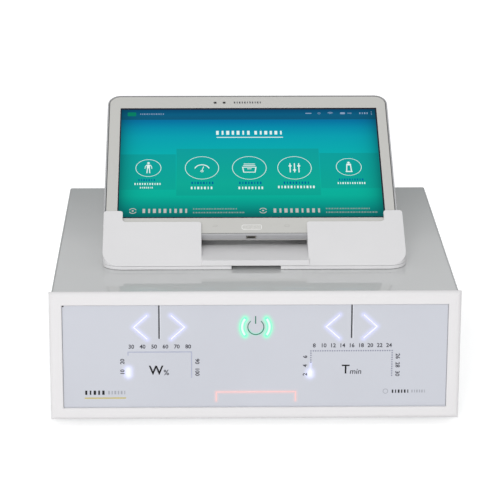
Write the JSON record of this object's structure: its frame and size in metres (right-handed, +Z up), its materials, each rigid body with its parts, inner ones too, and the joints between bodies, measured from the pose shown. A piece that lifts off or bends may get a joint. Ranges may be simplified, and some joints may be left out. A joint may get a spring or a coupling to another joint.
{
  "type": "ultrasound therapy device",
  "caption": "Box-shaped desktop therapy console with a back-lit touch front panel in a mitred frame and a tablet docked in a sloping cradle on its top.",
  "frame": {"origin": "middle of the footprint's bounding box, on the surface that the four rubber feet stand on", "axes": "+Z up, the touch panel and the screen face -Y, +X is to the right of someone who faces the panel"},
  "size_m": [0.325, 0.3, 0.2098],
  "materials": {
    "frame_paint": "satin white powder coat",
    "cover_gloss": "gloss white paint",
    "panel_acrylic": "milky back-lit panel, gloss",
    "light_guide": "frosted clear",
    "circuit_board": "green solder mask",
    "zinc_sheet": "zinc plated",
    "rubber": "matt",
    "screw_steel": "plain steel",
    "rear_paint": "light grey powder coat",
    "black_plastic": "fine moulded grain",
    "switch_rocker": "satin",
    "wire_steel": "bright wire",
    "nickel": "nickel plated",
    "brass": "bright",
    "heatsink": "extruded, anodised",
    "winding": "varnished copper winding under tape",
    "ribbon": "grey ribbon",
    "cradle_white": "satin white moulding",
    "tablet_white": "gloss white",
    "rim_chrome": "polished",
    "bezel_glass": "light grey printed glass, gloss",
    "battery": "foil pack",
    "lens": "gloss black",
    "key_white": "gloss light grey",
    "display": "lit screen behind glass"
  },
  "bodies": {
    "console": {"frame_rail_top": "frame_paint", "frame_rail_bottom": "frame_paint", "frame_rail_left": "frame_paint", "frame_rail_right": "frame_paint", "front_panel": "panel_acrylic", "light_guide": "light_guide", "touch_board": "circuit_board", "top_cover": "cover_gloss", "base_tray": "zinc_sheet", "rubber_foot_front_left": "rubber", "rubber_foot_front_right": "rubber", "rubber_foot_rear_left": "rubber", "rubber_foot_rear_right": "rubber", "cover_screw_left_front": "screw_steel", "cover_screw_left_middle": "screw_steel", "cover_screw_left_rear": "screw_steel", "cover_screw_right_front": "screw_steel", "cover_screw_right_middle": "screw_steel", "cover_screw_right_rear": "screw_steel", "rear_panel": "rear_paint", "fan_housing": "black_plastic", "fan_guard": "wire_steel", "mains_inlet": "black_plastic", "inlet_pin_line": "nickel", "inlet_pin_neutral": "nickel", "inlet_pin_earth": "nickel", "power_switch_frame": "black_plastic", "handpiece_socket_left": "nickel", "handpiece_socket_right": "nickel", "socket_nut_left": "nickel", "socket_nut_right": "nickel", "earth_post": "brass", "main_board": "circuit_board", "output_board": "circuit_board", "output_heatsink": "heatsink", "output_transformer": "winding", "power_supply": "zinc_sheet", "ribbon_cable": "ribbon", "cradle_base": "cradle_white", "cradle_body": "cradle_white", "grip_pad_left": "rubber", "grip_pad_right": "rubber"},
    "fan": {"fan_rotor": "black_plastic"},
    "fuse_tray": {"fuse_drawer": "black_plastic", "fuse": "nickel"},
    "rocker": {"power_rocker": "switch_rocker"},
    "tablet": {"tablet_back": "tablet_white", "tablet_rim": "rim_chrome", "tablet_glass": "bezel_glass", "tablet_display": "display", "tablet_battery": "battery", "tablet_board": "circuit_board", "tablet_camera": "lens", "tablet_usb_port": "nickel"},
    "home_button": {"tablet_home_button": "key_white"},
    "power_key": {"tablet_power_key": "rim_chrome"},
    "volume_key": {"tablet_volume_key": "rim_chrome"}
  },
  "joints": [
    {"name": "tablet_lift", "type": "slide", "parent": "console", "child": "tablet", "axis": [0, 0.8939, 0.4482], "range_m": [0, 0.13]},
    {"name": "home_button_press", "type": "slide", "parent": "tablet", "child": "home_button", "axis": [0, 0.4482, -0.8939], "range_m": [0, 0.0004], "stiffness_N_per_m": 3500},
    {"name": "power_key_press", "type": "slide", "parent": "tablet", "child": "power_key", "axis": [0, -0.8939, -0.4482], "range_m": [0, 0.0004], "stiffness_N_per_m": 2500},
    {"name": "volume_key_rock", "type": "hinge", "parent": "tablet", "child": "volume_key", "pos_m": [-0.0673, 0.1029, 0.20677], "axis": [0, -0.4482, 0.8939], "range_deg": [-1.5, 1.5], "stiffness_Nm_per_rad": 0.75},
    {"name": "power_rocker_turn", "type": "hinge", "parent": "console", "child": "rocker", "pos_m": [0.08, 0.1391, 0.062], "axis": [1, 0, 0], "range_deg": [-18, 0]},
    {"name": "fuse_drawer_slide", "type": "slide", "parent": "console", "child": "fuse_tray", "axis": [0, 1, 0], "range_m": [0, 0.02]},
    {"name": "fan_spin", "type": "hinge", "parent": "console", "child": "fan", "pos_m": [-0.1, 0.1277, 0.058], "axis": [0, 1, 0], "continuous": true}
  ]
}
